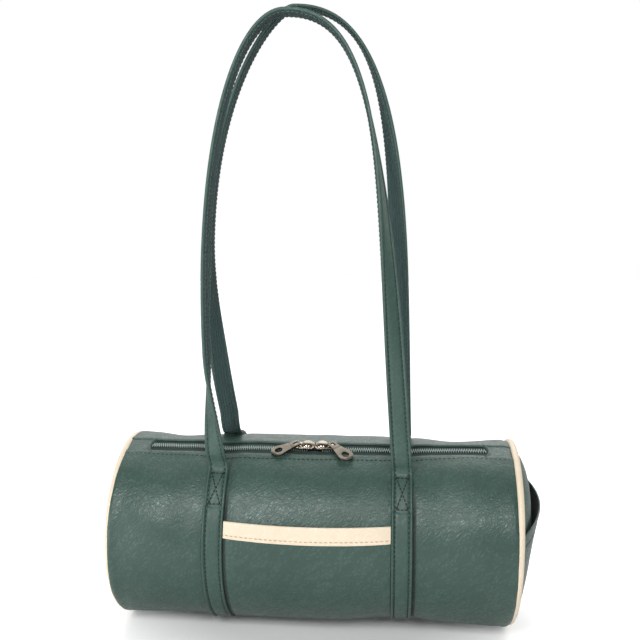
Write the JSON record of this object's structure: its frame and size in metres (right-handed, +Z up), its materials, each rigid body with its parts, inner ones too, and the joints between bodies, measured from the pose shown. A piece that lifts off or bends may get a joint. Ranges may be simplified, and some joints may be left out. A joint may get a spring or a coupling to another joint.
{
  "type": "barrel bag",
  "caption": "Cylindrical leather shoulder bag with a top zip, piped domed ends, carrying bands, long twisted handles and slip pockets on its front and one end.",
  "frame": {"origin": "on the floor, midway between the flat soles of the two bands, under the barrel's axis", "axes": "+X along the barrel towards the end pocket, -Y is the front, +Z up"},
  "size_m": [0.3345, 0.1466, 0.4668],
  "materials": {
    "green_leather": "pebbled, satin",
    "cream_leather": "fine grain, satin",
    "green_webbing": "ribbed weave",
    "lining_fabric": "plain weave",
    "foam": "needled felt",
    "zip_tape": "herringbone tape",
    "zip_coil": "nylon coil",
    "nickel": "polished nickel plate",
    "piping_cord": "twisted filler cord"
  },
  "bodies": {
    "bag": {"body_panel": "green_leather", "body_interlining": "foam", "body_lining": "lining_fabric", "zip_tape_front": "zip_tape", "zip_tape_back": "zip_tape", "zip_coil_front": "zip_coil", "zip_coil_back": "zip_coil", "zip_end_tab_left": "green_leather", "zip_end_tab_right": "green_leather", "front_pocket_panel": "green_leather", "front_pocket_lining": "lining_fabric", "front_pocket_binding": "cream_leather", "end_pocket_panel": "green_leather", "end_pocket_lining": "lining_fabric", "left_end_panel": "green_leather", "left_end_interlining": "foam", "left_end_lining": "lining_fabric", "left_piping": "cream_leather", "left_piping_cord": "piping_cord", "left_band_face": "green_leather", "left_band_core": "green_webbing", "right_end_panel": "green_leather", "right_end_interlining": "foam", "right_end_lining": "lining_fabric", "right_piping": "cream_leather", "right_piping_cord": "piping_cord", "right_band_face": "green_leather", "right_band_core": "green_webbing"},
    "left_slider": {"left_slider_body": "nickel", "left_slider_crown": "nickel"},
    "right_slider": {"right_slider_body": "nickel", "right_slider_crown": "nickel"},
    "left_pull": {"left_pull": "nickel"},
    "right_pull": {"right_pull": "nickel"},
    "front_handle": {"front_handle_face": "green_leather", "front_handle_webbing": "green_webbing"},
    "back_handle": {"back_handle_face": "green_leather", "back_handle_webbing": "green_webbing"}
  },
  "joints": [
    {"name": "left_slider_slide", "type": "slide", "parent": "bag", "child": "left_slider", "axis": [-1, 0, 0], "range_m": [0, 0.11], "deforming": ["zip_tape_front", "zip_tape_back", "zip_coil_front", "zip_coil_back"]},
    {"name": "right_slider_slide", "type": "slide", "parent": "bag", "child": "right_slider", "axis": [1, 0, 0], "range_m": [0, 0.11], "deforming": ["zip_tape_front", "zip_tape_back", "zip_coil_front", "zip_coil_back"]},
    {"name": "left_pull_swing", "type": "hinge", "parent": "left_slider", "child": "left_pull", "pos_m": [-0.0122, -0.02048, 0.14337], "axis": [-0.4848, 0.8407, 0.2411], "range_deg": [0, 105]},
    {"name": "right_pull_swing", "type": "hinge", "parent": "right_slider", "child": "right_pull", "pos_m": [0.0122, -0.02048, 0.14337], "axis": [-0.7193, -0.6677, -0.1915], "range_deg": [0, 105]},
    {"name": "front_handle_swing", "type": "hinge", "parent": "bag", "child": "front_handle", "pos_m": [0, -0.04814, 0.12933], "axis": [1, 0, 0], "range_deg": [0, 112]},
    {"name": "back_handle_swing", "type": "hinge", "parent": "bag", "child": "back_handle", "pos_m": [0, 0.01042, 0.14612], "axis": [-1, 0, 0], "range_deg": [0, 98]}
  ]
}
